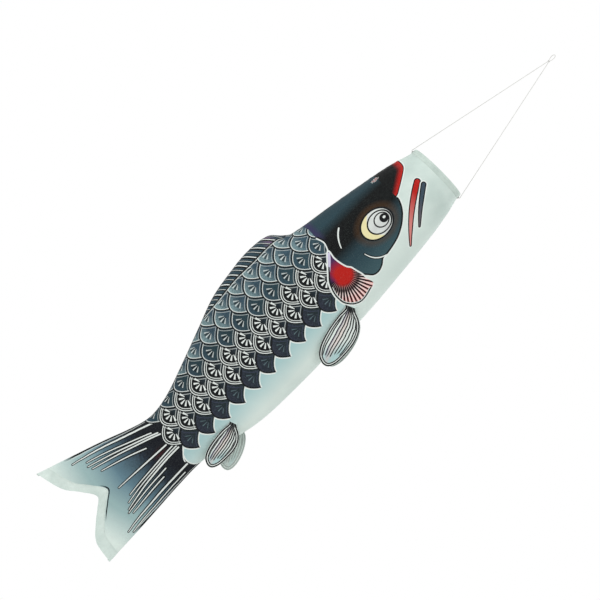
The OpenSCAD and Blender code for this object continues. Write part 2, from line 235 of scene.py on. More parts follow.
def new_mesh(name, points, faces, materials, parts=None, uv=None, fields=None, crease=50):
    """Mesh object with its place in its mesh, smooth but for edges sharper than an angle."""
    mesh = bpy.data.meshes.new(name)
    mesh.from_pydata(np.reshape(points, (-1, 3)).tolist(), [], faces)
    for material in materials:
        mesh.materials.append(material)
    if parts is not None:
        mesh.polygons.foreach_set("material_index", np.asarray(parts, np.int32))
    corners = np.empty(len(mesh.loops), np.int32)
    mesh.loops.foreach_get("vertex_index", corners)
    if uv is not None:
        layer = mesh.uv_layers.new(name="print")
        layer.data.foreach_set("uv", np.reshape(uv, (-1, 2))[corners].astype(np.float32).ravel())
    for field, values in (fields or {}).items():
        data = mesh.attributes.new(field, "FLOAT", "POINT").data
        data.foreach_set("value", np.ravel(values).astype(np.float32))
    mesh.polygons.foreach_set("use_smooth", np.ones(len(mesh.polygons), bool))
    mesh.update(calc_edges=True)
    mesh.set_sharp_from_angle(angle=math.radians(crease))
    piece = bpy.data.objects.new(name, mesh)
    bpy.context.collection.objects.link(piece)
    return piece


def grid_faces(index):
    """Quads between the neighbours of a grid of point numbers."""
    return np.stack([index[:-1, :-1], index[:-1, 1:], index[1:, 1:], index[1:, :-1]], -1).reshape(-1, 4)


def shell(name, outer, thickness, materials, uv, fields=None, flip=False):
    """Thin closed sheet: a grid of points, the same grid set in along its normals, and a rim between
    the two. The first material is the outside, the second the inside and the rim."""
    normal = grid_normals(outer) * (-1 if flip else 1)
    inner = outer - normal * thickness * MM
    index = np.arange(outer.shape[0] * outer.shape[1]).reshape(outer.shape[:2])
    front = grid_faces(index)
    loop = np.concatenate([index[0, :-1], index[:-1, -1], index[-1, :0:-1], index[:0:-1, 0]])
    after = np.roll(loop, -1)
    rim = np.stack([after, loop, loop + index.size, after + index.size], -1)
    back = front[:, ::-1] + index.size
    faces = np.concatenate([front, back, rim])
    if flip:
        faces = faces[:, ::-1]
    parts = np.repeat([0, 1, 1], [len(front), len(back), len(rim)])
    both = {field: [values, values] for field, values in (fields or {}).items()}
    return new_mesh(name, [outer, inner], faces.tolist(), materials, parts, [uv, uv], both)


def tube_faces(rows, sides, closed=False):
    """Faces of a tube of rings, capped at both ends or joined end to end."""
    index = np.arange(rows * sides).reshape(rows, sides)
    index = np.concatenate([index, index[:, :1]], axis=1)
    if closed:
        return grid_faces(np.concatenate([index, index[:1]], axis=0)).tolist()
    return grid_faces(index).tolist() + [index[0, :-1].tolist(), index[-1, -2::-1].tolist()]


def swept(name, rings, material, uv=None, closed=False):
    """Surface through a list of closed rings."""
    return new_mesh(name, rings, tube_faces(*rings.shape[:2], closed), [material], uv=uv, crease=75)


def resampled(points, step):
    """Points along a smooth curve through a route, a step apart, with the curve's own length."""
    p = np.asarray(points, float)
    chord = run_along(p)
    fine = np.linspace(0, chord[-1], max(200, int(chord[-1] / step * 4)))
    dense = np.stack([curve(np.stack([chord, p[:, k]], -1), fine) for k in range(p.shape[1])], -1)
    run = run_along(dense)
    at = np.linspace(0, run[-1], max(2, int(round(run[-1] / step)) + 1))
    return np.stack([np.interp(at, run, dense[:, k]) for k in range(p.shape[1])], -1), at


# ---- a material's formulas

def arithmetic(operation, swapped=False):
    """Method of a number in a material that stands for one sign."""
    def work_out(self, other):
        pair = (other, self) if swapped else (self, other)
        return formula(operation, *pair)
    return work_out


class Number:
    """A number in a material, so that its formula can be written as sums of such numbers."""

    def __init__(self, tree, socket):
        self.tree, self.socket = tree, socket

    __add__ = arithmetic("ADD")
    __radd__ = arithmetic("ADD", swapped=True)
    __sub__ = arithmetic("SUBTRACT")
    __rsub__ = arithmetic("SUBTRACT", swapped=True)
    __mul__ = arithmetic("MULTIPLY")
    __rmul__ = arithmetic("MULTIPLY", swapped=True)
    __truediv__ = arithmetic("DIVIDE")
    __gt__ = arithmetic("GREATER_THAN")
    __lt__ = arithmetic("LESS_THAN")


def formula(operation, *inputs, clamp=False):
    tree = next(value.tree for value in inputs if isinstance(value, Number))
    node = new_node(tree, "Math", dict(enumerate(inputs)))
    node.operation, node.use_clamp = operation, clamp
    return Number(tree, node.outputs[0])


def feed(socket, value):
    """Sets a socket to a constant, or links a number or a colour to it."""
    if isinstance(value, Number):
        value = value.socket
    if hasattr(value, "is_output"):
        socket.id_data.links.new(value, socket)
    else:
        socket.default_value = value


def new_node(tree, kind, inputs):
    """Node of a kind, with its inputs set or linked."""
    made = tree.nodes.new("ShaderNode" + kind)
    for name, value in inputs.items():
        feed(made.inputs[name], value)
    return made


def least(a, b):
    return formula("MINIMUM", a, b)


def most(a, b):
    return formula("MAXIMUM", a, b)


def between(field, low, high):
    """Above zero where a field lies between two bounds."""
    return least(field - low, high - field)


def size_of(a):
    return formula("ABSOLUTE", a)


def root(a):
    return formula("SQRT", a)


def clamped(a):
    return formula("MULTIPLY", a, 1.0, clamp=True)


def wave(a):
    return formula("SINE", a)


def hump(place, middle, reach):
    """1 at the middle, falling straight to 0 at the reach on both sides."""
    return clamped(1 - size_of(place - middle) / reach)


def cover(field, soft=0.3):
    """How much of a shape shows, from 0 to 1, where its distance field is above zero."""
    return formula("MULTIPLY_ADD", field, 1 / soft, 0.5, clamp=True)


def colour(red, green, blue):
    """Colour of a dye, from its values on a screen, 0 to 255."""
    values = np.array([red, green, blue]) / 255
    linear = np.where(values <= 0.04045, values / 12.92, ((values + 0.055) / 1.055) ** 2.4)
    return (*linear.tolist(), 1.0)


def paint(under, over, amount, tree=None):
    """One colour over another, by an amount from 0 to 1."""
    node = (tree or amount.tree).nodes.new("ShaderNodeMix")
    node.data_type = "RGBA"
    for place, value in ((0, amount), (6, under), (7, over)):
        feed(node.inputs[place], value)
    return node.outputs[2]


def layered(under, *layers):
    """Colours laid one after another over the first, each by its own amount."""
    for over, amount in layers:
        under = paint(under, over, amount)
    return under


def noise(tree, scale, detail=2.0):
    """Soft noise over the piece's own place in the object."""
    place = tree.nodes.new("ShaderNodeTexCoord").outputs["Object"]
    made = new_node(tree, "TexNoise", {"Scale": scale, "Detail": detail, "Vector": place})
    return Number(tree, made.outputs["Fac"])


def patches(tree, scale, gain, less):
    """Soft patches from 0 to 1: noise made stronger, less a constant."""
    return clamped(noise(tree, scale) * gain - less)


def attribute(tree, name):
    node = tree.nodes.new("ShaderNodeAttribute")
    node.attribute_name = name
    return Number(tree, node.outputs["Fac"])


def print_place(tree):
    """The two coordinates of a piece's own layout, in millimetres."""
    layout = tree.nodes.new("ShaderNodeUVMap")
    layout.uv_map = "print"
    split = new_node(tree, "SeparateXYZ", {0: layout.outputs[0]})
    return Number(tree, split.outputs[0]) * 1000, Number(tree, split.outputs[1]) * 1000


INK = colour(14, 16, 19)
WHITE = colour(232, 238, 234)
PALE = colour(224, 236, 230)
SHADE = colour(188, 205, 199)
AQUA = colour(164, 201, 203)
RED = colour(186, 28, 20)
PINK = colour(236, 172, 166)
PURPLE = colour(72, 44, 104)
TEAL = colour(40, 62, 70)
SLATE = colour(58, 80, 94)
MIST = colour(128, 158, 162)
NAVY = colour(40, 44, 58)
CREAM = colour(236, 228, 178)


BUMP_DEPTH = 0.0002
THREAD_PITCH = 0.9
CLOTH_ROUGHNESS = 0.62


def material(name):
    found = bpy.data.materials.new(name)
    found.use_nodes = True
    found.node_tree.nodes.clear()
    return found, found.node_tree


def woven(name, painter, glow=0.22):
    """Thin polyester cloth: its printed colour on fine crossed threads, a soft sheen, and some of the
    light let through. The painter gives the colour; the threads lie along the two layout lines."""
    made, tree = material(name)
    along, across = print_place(tree)
    picture = painter(tree, along, across)
    speck = noise(tree, 900.0, 1.0)
    picture = paint(picture, SHADE, formula("MULTIPLY", most(speck - 0.5, 0.0), 0.25, clamp=True))
    turns = 2 * math.pi / THREAD_PITCH
    height = wave(along * turns) * wave(across * turns) * 0.35 + noise(tree, 260.0, 3.0)
    bump = new_node(tree, "Bump", {"Strength": 0.22, "Distance": BUMP_DEPTH, "Height": height}).outputs[0]
    shader = new_node(tree, "BsdfPrincipled", {"Base Color": picture, "Normal": bump,
        "Roughness": noise(tree, 55.0) * 0.14 + (CLOTH_ROUGHNESS - 0.07), "Sheen Weight": 0.05,
        "Sheen Roughness": 0.4, "Specular IOR Level": 0.12})
    through = new_node(tree, "BsdfTranslucent", {"Color": picture, "Normal": bump})
    mix = new_node(tree, "MixShader", {0: glow, 1: shader.outputs[0], 2: through.outputs[0]})
    new_node(tree, "OutputMaterial", {0: mix.outputs[0]})
    return made


# ---- the print

SCALE_PITCH = 42.1
ROW_PITCH = 30.5
FIRST_ROW = -126.5
EVEN_PHASE = 587.6
ODD_PHASE = 566.5
ARC_BEND = 0.0275
LAST_SCALE = 762


def ellipse(s, q, station, height, along, across):
    """Distance field of an ellipse, above zero inside it."""
    _, middle = on_cloth(station, height)
    x, y = (s - station) / along, (q - float(middle)) / across
    return (1 - root(x * x + y * y)) * min(along, across)


def stroke(s, q, first, last, bow, widths):
    """Distance field of a brush stroke: a bowed line between two places, with a half width at each end."""
    (s0, s1), (q0, q1) = (v.tolist() for v in on_cloth([first[0], last[0]], [first[1], last[1]]))
    length = math.hypot(s1 - s0, q1 - q0)
    a, b = (s1 - s0) / length, (q1 - q0) / length
    along = (s - s0) * a + (q - q0) * b
    t = clamped(along / length)
    aside = (q - q0) * a - (s - s0) * b - t * (1 - t) * (4 * bow)
    beyond = along - t * length
    return t * t * (widths[1] - widths[0]) + widths[0] - root(aside * aside + beyond * beyond)


def belly_colour(tree, s, q):
    """Pale cloth in cloudy patches, with painted shade that greys it near the mouth, and a teal wash below
    the scales that fades to the belly.
    """
    cloud = noise(tree, 9.0, 2.0)
    base = paint(PALE, SHADE, formula("MULTIPLY", cloud - 0.35, 0.9, clamp=True))
    # painted shade: the cloth is greyed in soft patches near the mouth, fading out by 170 mm from the
    # mouth's edge
    mouth = clamped((170 - s) / 130) * patches(tree, 16.0, 2.6, 0.75)
    base = paint(base, SHADE, mouth * 0.65)
    wash = clamped((84 - q + noise(tree, 22.0) * 8) / 46) * clamped((s - 292) / 25)
    return paint(base, AQUA, wash * 0.85)


def scales(tree, s, q, under):
    """Rows of scales, each a rounded arc that opens towards the tail and lies over the next one.
    For a place, each of the two nearest rows offers its own scale, and the one nearer the head shows."""
    row = formula("FLOOR", (q - FIRST_ROW) / ROW_PITCH)
    above = q - FIRST_ROW - row * ROW_PITCH
    below = above - ROW_PITCH
    odd = formula("FLOORED_MODULO", row, 2.0)
    shift = odd * (ODD_PHASE - EVEN_PHASE)

    def arc_ahead(offset, phase):
        reach = s + offset * offset * ARC_BEND - phase
        return formula("CEIL", reach / SCALE_PITCH) * SCALE_PITCH + phase

    tip_above = arc_ahead(above, EVEN_PHASE + shift)
    tip_below = arc_ahead(below, ODD_PHASE - shift)
    tip = least(tip_above, tip_below)
    pick = tip_below < tip_above
    row = row + pick
    d = above - pick * ROW_PITCH
    half = size_of(d)
    back = tip - s
    own = (back - d * d * ARC_BEND) / root(d * d * (4 * ARC_BEND**2) + 1)
    rest = ROW_PITCH - half
    next_arc = ((SCALE_PITCH / 2 - back) + rest * rest * ARC_BEND) / root(
        rest * rest * (4 * ARC_BEND**2) + 1)
    aim = 30 - back
    radius = root(aim * aim + d * d)
    angle = formula("ARCTAN2", d, aim)
    blades = formula("COSINE", angle * 10)
    centre = between(radius, 5.0, 16.5)
    blotch = noise(tree, 420.0, 2.0)

    # plain rows: a misty fill, darker inside, with three short blades
    deep = clamped(back / 32)
    upper = paint(colour(152, 180, 182), SLATE, clamped(deep * 1.15 + row * 0.12 - 0.1))
    middle = paint(SLATE, TEAL, clamped(deep * 1.4))
    fill = paint(upper, middle, row > 1.5)
    hue = wave(tip * 12.9898 + row * 78.233) * 0.14 + 0.14
    fill = layered(fill,
        (colour(84, 124, 140), hue),
        (colour(24, 34, 42), clamped(blotch * 2.4 - 0.95) * 0.75))
    narrow = least(centre, 0.72 - size_of(angle))
    fill = layered(fill,
        (INK, cover(least(narrow, (-0.1 - blades) * 4)) * 0.75),
        (WHITE, cover(least(narrow, (blades - 0.62) * 4)) * 0.75),
        (WHITE, cover(between(next_arc, 1.6, 2.7)) * (own > 4.5) * 0.5))

    # the dark last row
    dusk = layered(NAVY,
        (colour(30, 42, 44), deep),
        (colour(78, 84, 104), clamped(blotch * 2.4 - 1.1) * 0.6),
        (MIST, cover(least(narrow, (blades - 0.75) * 4)) * 0.4),
        (colour(70, 76, 100), cover(between(next_arc, 3.5, 5)) * 0.5))
    fill = layered(fill,
        (dusk, row > 4.5),
        (WHITE, cover(between(own, 2.8, 4.6)) * (row < 4.5) * 0.85),
        (INK, cover(2.9 - own)))

    # the two fan rows: black, with two white arcs and a fan of white blades
    ring = most(between(own, 2.0, 3.8), between(own, 6.3, 7.8))
    half_fan = least(least(centre, own - 9.6), (1.45 - size_of(angle)) * 8)
    fan = most(ring, least(half_fan, (blades - 0.3) * 4))
    dark = layered(INK,
        (SLATE, clamped((back - 24) / 16) * 0.35),
        (WHITE, cover(between(next_arc, 1.7, 2.9)) * (own > 4.0) * 0.6),
        (WHITE, cover(fan)))
    is_fan = (row > 2.5) * (row < 4.5)
    fill = paint(fill, dark, is_fan)

    # past the last row only a white rim follows its points
    rim = least(own, next_arc)
    plain = paint(under, WHITE, cover(2.4 - rim) * (d < -2.5))
    fill = paint(fill, plain, row > 5.5)
    bare = most(row > 6.5, cover(tip - LAST_SCALE))
    return paint(fill, under, most(bare, cover(256 - s + most(q - 12, 0.0) * 0.6)))


def dorsal_fin(tree, s, under):
    """The back fin's print: slanted rays between a base line and the seam."""
    crest = attribute(tree, "crest")
    lean = (s - crest * 0.63 - 317.5) / 25
    ray = lean - formula("FLOOR", lean)
    fill = paint(SLATE, TEAL, patches(tree, 60.0, 1.6, 0.3))
    front = hump(s, 333, 14)
    fill = layered(fill,
        (colour(132, 108, 138), front * 0.8),
        (INK, cover(0.21 - size_of(ray - 0.16), 0.02)),
        (INK, cover(0.1 - size_of(ray - 0.64), 0.02)),
        (WHITE, cover(0.05 - size_of(ray - 0.14), 0.02)),
        (WHITE, cover(0.03 - size_of(ray - 0.62), 0.02) * 0.8),
        (INK, cover(2.8 - crest)))
    under = paint(under, WHITE, cover(least(crest + 2.6, s - 316)) * 0.6)
    return paint(under, fill, cover(crest + 0.4))


def face(tree, s, q, under):
    """The dark head with its outlines, lip, nostril and barbels."""
    head = attribute(tree, "head")
    rim = (275 - s) * 0.2
    under = paint(under, WHITE, cover(least(head + 2.6, least(rim, q + 80))))
    glow = hump(q, -46, 46)
    near = patches(tree, 14.0, 2.2, 0.6)
    fill = paint(colour(44, 70, 80), TEAL, near)
    fill = layered(fill,
        (colour(9, 11, 13), clamped(glow * 1.9 - 0.1)),
        (colour(66, 94, 100), clamped((q - 4) / 48) * 0.85))
    nape = hump(s, 258, 12) * clamped((-60 - q) / 20)
    fill = layered(fill,
        (colour(60, 50, 92), nape * 0.8),
        (INK, cover(least(3.2 - head, least(rim + 1, q + 80)))))

    # the jaw plate's inner line and the two thin gill lines
    for first, last, bow, widths in (((190, 43), (219, 12), 6, (1.3, 0.9)),
            ((219, -60), (243, -29), -3, (1.6, 1.0))):
        line = stroke(s, q, first, last, bow, widths)
        fill = layered(fill,
            (INK, cover(line + 1.8)),
            (WHITE, cover(line)))
    under = paint(under, fill, cover(head))

    # lip: red, fading into the head, with a dark edge and a white one round it
    lip = attribute(tree, "lip")
    front = 97 - s
    under = paint(under, WHITE, cover(least(lip + 2.4, least(front, 1.5 - head))))
    red = paint(RED, colour(110, 14, 14), clamped((lip - 3) / 12))
    red = paint(red, colour(12, 12, 14), clamped((lip - 9 + (s - 60) * 0.12) / 9))
    under = layered(under,
        (red, cover(least(lip, front))),
        (INK, cover(least(1.8 - lip, least(lip, front)))))

    # barbels
    for first, last, bow, widths, dye in (((48, -15), (143, 64), -7.5, (4.8, 0.8), RED),
            ((43, -3), (105, 49), -2.8, (3.3, 0.7), colour(62, 78, 92))):
        whisker = stroke(s, q, first, last, bow, widths)
        under = layered(under,
            (WHITE, cover(whisker + 4.2)),
            (INK, cover(whisker + 2.2)))
        inner = paint(dye, PINK, clamped((s - 66) / 50) * (0.6 if dye == RED else 0.2))
        under = paint(under, inner, cover(whisker))

    # nostril: a ring of pale dots
    nostril = ellipse(s, q, 102, -76, 9.5, 5.5)
    dots = wave(s * 1.3) * wave(q * 1.3)
    under = layered(under,
        (WHITE, cover(least(nostril, (dots - 0.2) * 2)) * 0.85),
        (colour(200, 60, 50), cover(least(nostril - 1.5, (-0.3 - dots) * 2))))
    return under


def eye(tree, s, q, under):
    """Nested ovals: a pale one with a cream crescent, two rings and a black pupil with a bright spot."""
    outer = ellipse(s, q, 161, -13, 34, 26.4)
    second = ellipse(s, q, 155, -12, 26, 21)
    third = ellipse(s, q, 149, -12.5, 15.5, 13.5)
    pupil = ellipse(s, q, 143, -12, 9, 9)
    spot = ellipse(s, q, 141.5, -13, 3.2, 2.6)
    warm = hump(outer, -6, 10)
    under = layered(under,
        (colour(86, 58, 30), warm * 0.45),
        (INK, cover(outer + 2.8)))
    white = paint(WHITE, colour(205, 208, 206), patches(tree, 40.0, 2, 0.6))
    white = paint(white, CREAM, cover((s - 176) * 0.5 - second, 3.0) * cover(0 - second))
    under = layered(under,
        (white, cover(outer)),
        (INK, cover(1.3 - size_of(second))),
        (INK, cover(1.2 - size_of(third))),
        (INK, cover(pupil)))
    return paint(under, WHITE, cover(spot))


def gill_fan(tree, s, q, under):
    """The red fan behind the gill cover: ribs spread from its bright middle to the lower edge."""
    gill = attribute(tree, "gill")
    _, heart = on_cloth(278, 9)
    x, y = s - 278, q - float(heart)
    reach = root(x * x + y * y)
    turn = formula("ARCTAN2", x, y)
    under = paint(under, WHITE, cover(least(gill + 3.0, s - 246)))
    fill = layered(RED,
        (PINK, clamped((reach - 26) / 30) * clamped((44 - x) / 34)),
        (colour(58, 34, 84), clamped((18 - y + x * 0.35 - 14) / 14) * 0.95),
        (colour(34, 22, 44), clamped((x + y * 0.1 - 20) / 8) * clamped((34 - y) / 12)),
        (RED, clamped((32 - reach) / 18) * clamped((24 - x) / 10)))
    gap = reach / 23
    rib = size_of(wave(turn * 23)) * gap
    glint = size_of(formula("COSINE", turn * 23)) * gap
    spread = least(reach - 19, y + 2)
    thick = clamped((reach - 12) / 20)
    shine = cover(least(spread - 2, thick - glint)) * clamped((reach - 20) / 18)
    fill = paint(fill, colour(246, 226, 222), shine)
    ribs = cover(least(spread, thick * 1.45 - rib)) * clamped((reach - 15) / 10)
    fill = paint(fill, colour(24, 6, 10), ribs)
    tail_rib = stroke(s, q, (268, -38), (296, -9), 1, (2.6, 1.2))
    fill = paint(fill, colour(206, 200, 224), cover(tail_rib))
    rear = cover(s + y * 0.35 - 276)
    fill = layered(fill,
        (WHITE, cover(4.4 - gill) * cover(y - 4) * rear),
        (INK, cover(3.0 - gill) * rear))
    return paint(under, fill, cover(gill))


# Tail rays, each with its two ends, its bow and its half width
RAYS = [((745, -47), (916, -101), -4, 1.9), ((762, -36), (893, -84), -3, 1.2),
    ((752, -27), (897, -76), -3, 1.4), ((750, -22), (893, -67), -3, 1.4), ((790, -22), (883, -52), -2, 1.2),
    ((757, 1), (883, -5), 0, 1.5), ((745, 11), (877, 20), -1, 1.2), ((744, 17), (890, 29), -3, 1.2),
    ((743, 22), (900, 39), -5, 1.6), ((790, 33), (905, 44), -2, 1.1), ((805, 42), (898, 50), -1, 1.1),
    ((755, 58), (932, 70), -5, 1.8), ((770, 66), (925, 77), -3, 1.1)]


def tail_print(tree, s, q, under):
    """Dark at the root, teal along the middle and pale at the tips, with white rays edged in black."""
    root_line = s - 752 + (q - 55) * (q - 55) * 0.02
    streak = clamped(noise(tree, 240.0, 2.0) * 1.4 + noise(tree, 60.0) * 1.2 - 0.9)
    dark = paint(colour(20, 22, 30), colour(58, 76, 92), streak * clamped((s - 775) / 50))
    dark = paint(dark, colour(74, 18, 22), hump(s, 777, 20)
        * hump(q, 4, 12) * 0.8)
    wash = layered(dark,
        (colour(104, 136, 150), clamped((s - 806) / 62)),
        (colour(160, 188, 188), clamped((s + size_of(q + 10) * 0.2 - 866) / 50)),
        (PALE, clamped((s + size_of(q + 10) * 0.22 - 922) / 60)))
    back, belly = attribute(tree, "from_back"), attribute(tree, "from_belly")
    for dye, spread in ((INK, 2.6), (WHITE, 0.0)):
        for first, last, bow, width in RAYS:
            ray = stroke(s, q, first, last, bow, (width + spread, 0.7 + spread * 0.6))
            wash = paint(wash, dye, cover(ray, 0.5))
    edge = least(back, belly)
    fade = clamped((925 - s) / 20)
    wash = layered(wash,
        (WHITE, cover(between(edge, 6, 8.5)) * fade * 0.5),
        (INK, cover(6 - edge) * fade))
    end = attribute(tree, "from_end")
    notch = clamped(1 - (size_of(q + 6) - 18) / 12)
    wash = paint(wash, INK, cover(1.5 - size_of(end - 2.4)) * notch)
    rim = cover(least(root_line + 2.4, q - 26)) * cover(s - 720)
    under = paint(under, WHITE, rim)
    return paint(under, wash, cover(root_line))


def upper_print(tree, s, q):
    """Head, gill fan, back fin and the first scales."""
    under = belly_colour(tree, s, q)
    picture = scales(tree, s, q, under)
    picture = dorsal_fin(tree, s, picture)
    picture = face(tree, s, q, picture)
    picture = gill_fan(tree, s, q, picture)
    picture = eye(tree, s, q, picture)
    back = attribute(tree, "from_back")
    return paint(picture, INK, cover(least(7 - back, s - 66)))


def lower_print(tree, s, q):
    """The last scales and the tail."""
    under = belly_colour(tree, s, q)
    under = tail_print(tree, s, q, under)
    picture = scales(tree, s, q, under)
    picture = dorsal_fin(tree, s, picture)
    back = attribute(tree, "from_back")
    return paint(picture, INK, cover(least(6 - back, 905 - s)))


def seen_through(painter):
    """The reverse of a print: the pale cloth with the picture showing faintly through it."""
    def reverse(tree, s, q):
        return paint(PALE, painter(tree, s, q), 0.34, tree)
    return reverse


def plain(tree, s, q):
    """Pale cloth with faint cloudy shading."""
    return paint(PALE, SHADE, patches(tree, 30.0, 1.4, 0.4))


def greyer(tree, s, q):
    """The mouth's hem: two layers of the pale cloth, a shade darker."""
    return paint(colour(206, 220, 212), colour(176, 192, 185), patches(tree, 60.0, 1.6, 0.4))


def fin_print(tree, s, q):
    """Ribs that run from the root with the fin's own flow, a teal wash near the tip, and a double
    outline. Flow is the share of the way across, span the width there, rim the distance to the edge."""
    rim, flow, span = attribute(tree, "rim"), attribute(tree, "flow"), attribute(tree, "span")
    down = attribute(tree, "down")
    fill = paint(WHITE, PALE, patches(tree, 40.0, 1.5, 0.3))
    tip = clamped((down + flow * 0.3 - 0.72) / 0.25)
    fill = layered(fill,
        (AQUA, tip * 0.8),
        (PINK, hump(flow, 0.42, 0.2) * 0.3))
    place = flow * 9 - formula("FLOOR", flow * 9) - 0.5
    rib = 1.45 - size_of(place) * span / 9 - down * 0.4
    ends = cover(0.93 - down - flow * 0.22 + wave(flow * 40) * 0.03, 0.02)
    fill = layered(fill,
        (INK, cover(rib, 0.5) * ends),
        (PURPLE, cover(1.6 - size_of(flow - 0.3) * span, 0.5) * ends * 0.35),
        (WHITE, cover(7.6 - rim)),
        (INK, cover(1.2 - size_of(rim - 6.2))),
        (INK, cover(1.5 - size_of(rim - 1.9))))
    return paint(fill, INK, cover(0.09 - down - size_of(flow - 0.5) * 0.06, 0.02) * 0.85)


def simple(name, base, dark, roughness, metallic=0.0, grain=400.0, coat=0.0):
    """Plastic, metal or thread: two close colours in fine grain, with roughness and bump from it."""
    made, tree = material(name)
    fine = noise(tree, grain, 3.0)
    broad = noise(tree, grain / 12, 2.0)
    bump = new_node(tree, "Bump", {"Strength": 0.15, "Distance": BUMP_DEPTH, "Height": fine})
    shader = new_node(tree, "BsdfPrincipled", {"Base Color": paint(base, dark, clamped(broad * 1.6 - 0.4)),
        "Roughness": fine * 0.16 + (roughness - 0.08), "Metallic": metallic, "Coat Weight": coat,
        "Normal": bump.outputs[0]})
    new_node(tree, "OutputMaterial", {0: shader.outputs[0]})
    return made


MATERIALS = {
    "upper": woven("printed_head_cloth", upper_print),
    "upper_reverse": woven("printed_head_cloth_reverse", seen_through(upper_print)),
    "lower": woven("printed_tail_cloth", lower_print),
    "lower_reverse": woven("printed_tail_cloth_reverse", seen_through(lower_print)),
    "plain": woven("plain_cloth", plain, glow=0.18),
    "hem": woven("mouth_hem_cloth", greyer, glow=0.12),
    "fin": woven("printed_fin_cloth", fin_print),
    "fin_reverse": woven("printed_fin_cloth_reverse", seen_through(fin_print)),
    "cord": simple("bridle_cord", colour(205, 205, 200), colour(168, 168, 163), 0.6, grain=2500.0),
    "thread": simple("sewing_thread", colour(214, 222, 216), colour(176, 190, 184), 0.6, grain=3000.0),
    "rod": simple("hoop_rod", colour(232, 230, 220), colour(214, 211, 198), 0.35, coat=0.3),
    "tube": simple("joining_tube", colour(66, 63, 60), colour(44, 42, 40), 0.5),
    "metal": simple("eyelet_metal", colour(70, 64, 58), colour(34, 31, 28), 0.42, metallic=1.0),
}


# ---- camera, lights and floor

CAMERA_LENS = 120
CAMERA_PLACE = (-0.014, -3.942, -0.696)


def make_camera():
    """Looks straight at the right side from well back, turned so that the head points up to the right."""
    data = bpy.data.cameras.new("camera")
    data.lens, data.sensor_width, data.clip_end = CAMERA_LENS, 36, 50
    camera = bpy.data.objects.new("camera", data)
    right = Vector((1, 0, 1)).normalized()
    up = Vector((-1, 0, 1)).normalized()
    turned = Matrix((right, up, Vector((0, -1, 0)))).transposed().to_4x4()
    camera.matrix_world = Matrix.Translation(CAMERA_PLACE) @ turned
    bpy.context.collection.objects.link(camera)
    bpy.context.scene.camera = camera


def make_lights():
    """White surroundings and two broad soft lamps: the key before the right side, the fill behind it."""
    world = bpy.data.worlds.new("studio")
    world.use_nodes = True
    world.node_tree.nodes["Background"].inputs["Color"].default_value = (1, 1, 1, 1)
    world.node_tree.nodes["Background"].inputs["Strength"].default_value = 1.0
    bpy.context.scene.world = world
    for name, place, aim, size, power in (("key", (-2.2, -2.6, 0.9), (0, 0, -0.75), 1.8, 36),
            ("fill", (2.4, 2.2, 0.4), (0, 0, -0.75), 2.0, 16)):
        lamp = bpy.data.lights.new(name, "AREA")
        lamp.shape, lamp.size, lamp.energy = "SQUARE", size, power
        holder = bpy.data.objects.new(name, lamp)
        away = Vector(place) - Vector(aim)
        holder.matrix_world = Matrix.Translation(place) @ away.to_track_quat("Z", "Y").to_matrix().to_4x4()
        bpy.context.collection.objects.link(holder)


FLOOR_RADIUS = 1.4
FLOOR_TOP = -1.9
FLOOR_THICKNESS = 0.02


def make_floor():
    """Pale round floor below the tail, out of the main view: a flat drum."""
    made, tree = material("studio_floor")
    picture = paint(colour(236, 236, 234), colour(226, 226, 224), noise(tree, 6.0))
    shader = new_node(tree, "BsdfPrincipled", {"Base Color": picture, "Roughness": 0.8})
    new_node(tree, "OutputMaterial", {0: shader.outputs[0]})
    turn = full_turn(96)
    radius = np.array([FLOOR_RADIUS, FLOOR_RADIUS])[:, None]
    height = np.array([FLOOR_TOP - FLOOR_THICKNESS, FLOOR_TOP])[:, None]
    rings = np.stack([radius * np.cos(turn), radius * np.sin(turn), height + 0 * turn], axis=-1)
    floor = swept("floor", rings, made)


# ---- bridle

CORD_SIDES = 12
CORD_LAY = 2.6
CORD_STRANDS = 3
KNOT_POINTS = 150
CORD_STEP = 0.4
# Places and outer radii of the knots, and the cord's radius in them
TOP_KNOT_DROP = 16.5
TIE_KNOT_REACH = 59.3
TOP_KNOT = (2.5, 0.62)
TIE_KNOT = (1.95, 0.58)


def cord_rings(line, run, radius):
    """Rings of a twisted cord along a line in the plane of the bridle: a round section whose strands
    stand out as lobes that turn with the length run."""
    along = np.gradient(line, axis=0)
    along /= np.linalg.norm(along, axis=1, keepdims=True)
    phi = full_turn(CORD_SIDES)[None, :]
    lay = 2 * np.pi * run[:, None] / (CORD_LAY * MM)
    lobe = radius * (0.9 + 0.1 * np.cos(CORD_STRANDS * (phi - lay)))
    over = lobe * np.sin(phi)
    x = line[:, :1] + over * along[:, 1:]
    z = line[:, 1:] - over * along[:, :1]
    return np.stack([x, lobe * np.cos(phi), z], axis=-1)


def knot(name, centre, radius, cord_radius, turn=0.0):
    """Knot of the cord: a closed trefoil line, the form of an overhand knot, as thick as the cord.
    The cord ends at it and doesn't run through it."""
    t = full_turn(KNOT_POINTS) + turn
    line = np.stack([np.sin(t) + 2 * np.sin(2 * t), np.cos(t) - 2 * np.cos(2 * t), -np.sin(3 * t)], -1)
    line *= (radius - cord_radius) / 3
    along = np.roll(line, -1, 0) - np.roll(line, 1, 0)
    along /= np.linalg.norm(along, axis=1, keepdims=True)
    outward = line - np.sum(line * along, axis=1, keepdims=True) * along
    outward /= np.linalg.norm(outward, axis=1, keepdims=True)
    across = np.cross(along, outward)
    phi = full_turn(CORD_SIDES)[None, :, None]
    lobe = cord_radius * (0.9 + 0.1 * np.cos(CORD_STRANDS * phi - 24 * t[:, None, None]))
    rings = line[:, None] + lobe * (np.cos(phi) * outward[:, None] + np.sin(phi) * across[:, None])
    return swept(name, (rings * MM) + np.array(centre) * MM, MATERIALS["cord"], closed=True)


